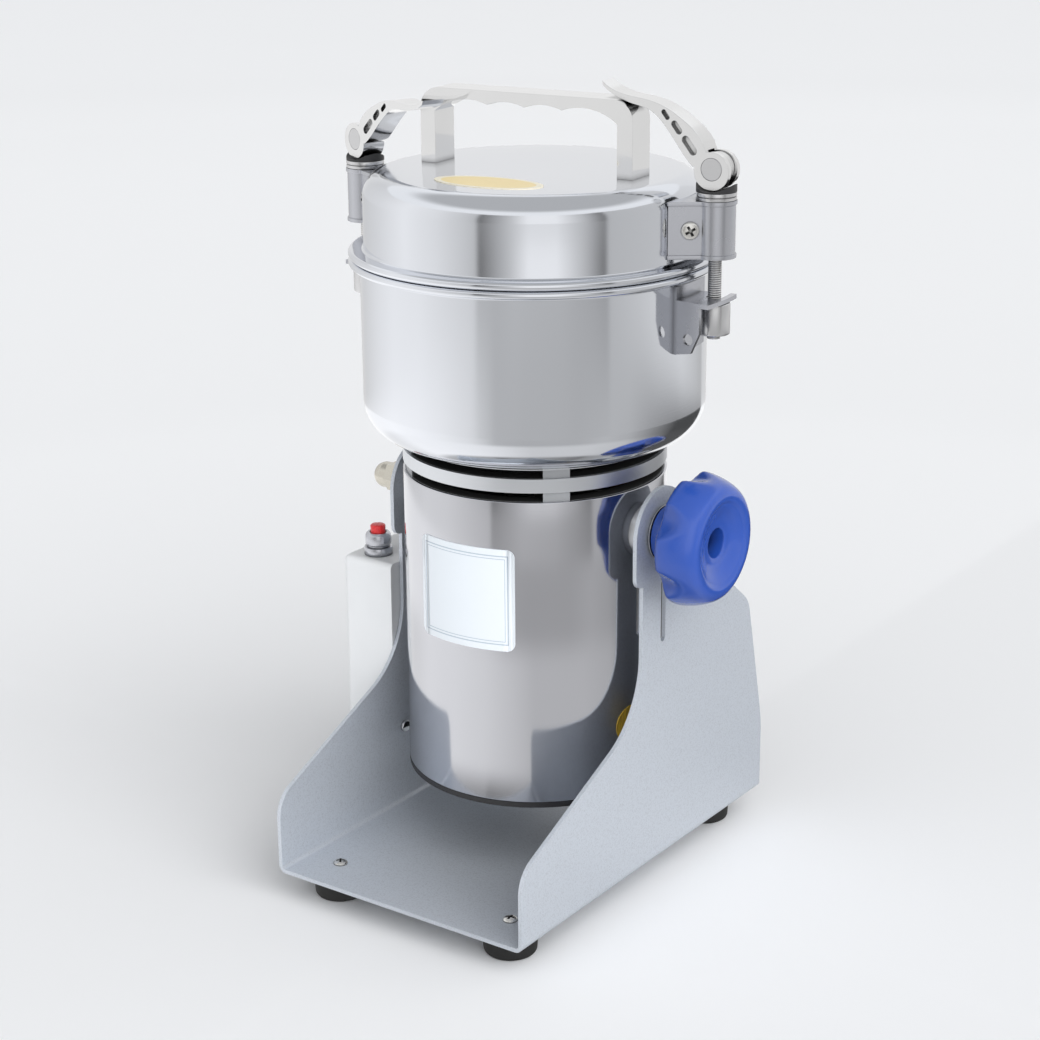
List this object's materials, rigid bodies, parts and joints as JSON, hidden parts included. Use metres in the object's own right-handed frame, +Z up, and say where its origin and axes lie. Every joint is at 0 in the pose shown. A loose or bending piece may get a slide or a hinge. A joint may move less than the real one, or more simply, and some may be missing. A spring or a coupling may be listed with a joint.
{
  "type": "electric spice grinder",
  "caption": "High-speed spice grinder: polished bowl with a clamped lid on a motor can that tilts in a bent sheet stand, locked by a star knob, with a switch box on the side.",
  "frame": {"origin": "middle of the base's footprint, on the floor", "axes": "+X to the knob side, -Y to the front, +Z up"},
  "size_m": [0.21, 0.2118, 0.3828],
  "materials": {
    "stand_paint": "silver hammer paint",
    "stainless": "mirror polished stainless steel",
    "bright_metal": "bright plated steel",
    "cast_aluminium": "cast, brushed",
    "plain_steel": "turned steel",
    "laminated_iron": "stacked laminations",
    "copper": "enamelled copper wire",
    "black_plastic": "moulded",
    "white_plastic": "moulded",
    "blue_plastic": "moulded",
    "red_plastic": "moulded",
    "carbon": "pressed carbon",
    "rubber": "moulded",
    "silicone": "moulded silicone",
    "blank_plate": "blank plate",
    "yellow_label": "blank label"
  },
  "bodies": {
    "stand": {"stand": "stand_paint", "feet": "rubber", "foot_screws": "bright_metal", "switch_box": "white_plastic", "box_screws": "bright_metal", "breaker": "bright_metal", "switch_body": "black_plastic", "cord_bush": "black_plastic"},
    "reset_button": {"reset_button": "red_plastic"},
    "switch_rocker": {"switch_rocker": "black_plastic"},
    "head": {"motor_can": "stainless", "bottom_cover": "black_plastic", "vent_collar": "cast_aluminium", "pivot_bosses": "cast_aluminium", "clamp_stud": "plain_steel", "pivot_bolt": "plain_steel", "pivot_washers": "plain_steel", "lock_nut": "bright_metal", "cap_nut": "bright_metal", "stator_core": "laminated_iron", "field_coils": "copper", "bearings": "plain_steel", "bearing_bridge": "cast_aluminium", "brush_holders": "black_plastic", "brushes": "carbon", "bowl": "stainless", "bowl_screws": "plain_steel", "shaft_seal": "silicone", "fork_brackets": "stainless", "bracket_rivets": "plain_steel", "rating_plate": "blank_plate", "round_label": "yellow_label"},
    "rotor": {"shaft": "plain_steel", "armature_core": "laminated_iron", "armature_windings": "copper", "commutator": "copper", "cooling_fan": "black_plastic", "blades": "plain_steel", "blade_spacers": "plain_steel", "blade_nut": "plain_steel"},
    "knob": {"knob": "blue_plastic"},
    "lid": {"lid": "stainless", "lid_seal": "silicone", "handle": "bright_metal", "handle_screws": "plain_steel", "lid_label": "yellow_label", "clamp_blocks": "bright_metal", "block_screws": "plain_steel"},
    "right_swivel": {"right_thrust_washer": "plain_steel", "right_saddle": "black_plastic"},
    "right_rod": {"right_eye_rod": "bright_metal", "right_rod_nut": "plain_steel"},
    "right_lever": {"right_cam_lever": "bright_metal", "right_lever_pin": "plain_steel"},
    "left_swivel": {"left_thrust_washer": "plain_steel", "left_saddle": "black_plastic"},
    "left_rod": {"left_eye_rod": "bright_metal", "left_rod_nut": "plain_steel"},
    "left_lever": {"left_cam_lever": "bright_metal", "left_lever_pin": "plain_steel"}
  },
  "joints": [
    {"name": "head_tilt", "type": "hinge", "parent": "stand", "child": "head", "pos_m": [0, 0.00735, 0.1795], "axis": [1, 0, 0], "range_deg": [0, 110]},
    {"name": "knob_turn", "type": "hinge", "parent": "head", "child": "knob", "pos_m": [0.09, 0.00735, 0.1795], "axis": [1, 0, 0], "range_deg": [0, 180]},
    {"name": "rotor_spin", "type": "hinge", "parent": "head", "child": "rotor", "pos_m": [0, 0.00735, 0.24], "axis": [0, 0, 1], "continuous": true},
    {"name": "lid_turn", "type": "hinge", "parent": "head", "child": "lid", "pos_m": [0, 0.00735, 0.32], "axis": [0, 0, 1], "range_deg": [0, 20]},
    {"name": "button_press", "type": "slide", "parent": "stand", "child": "reset_button", "axis": [0, 0, -1], "range_m": [0, 0.003], "stiffness_N_per_m": 400},
    {"name": "rocker_tilt", "type": "hinge", "parent": "stand", "child": "switch_rocker", "pos_m": [-0.1, 0.01035, 0.09], "axis": [0, 1, 0], "range_deg": [0, 16]},
    {"name": "right_clamp_swivel", "type": "hinge", "parent": "lid", "child": "right_swivel", "pos_m": [0.09165, 0.01537, 0.336], "axis": [0, 0, 1], "range_deg": [-60, 60]},
    {"name": "right_rod_slide", "type": "slide", "parent": "right_swivel", "child": "right_rod", "axis": [0, 0, -1], "range_m": [0, 0.001]},
    {"name": "right_lever_turn", "type": "hinge", "parent": "right_rod", "child": "right_lever", "pos_m": [0.09165, 0.01537, 0.3477], "axis": [-0.0872, 0.9962, 0], "range_deg": [0, 110]},
    {"name": "left_clamp_swivel", "type": "hinge", "parent": "lid", "child": "left_swivel", "pos_m": [-0.09165, -0.00067, 0.336], "axis": [0, 0, 1], "range_deg": [-40, 0]},
    {"name": "left_rod_slide", "type": "slide", "parent": "left_swivel", "child": "left_rod", "axis": [0, 0, -1], "range_m": [0, 0.001]},
    {"name": "left_lever_turn", "type": "hinge", "parent": "left_rod", "child": "left_lever", "pos_m": [-0.09165, -0.00067, 0.3477], "axis": [-0.3256, -0.9455, 0], "range_deg": [0, 110]}
  ],
  "couplings": [
    {"joint": "right_rod_slide", "follows": "right_lever_turn", "m_per_rad": 0.00052082},
    {"joint": "left_rod_slide", "follows": "left_lever_turn", "m_per_rad": 0.00052082}
  ]
}
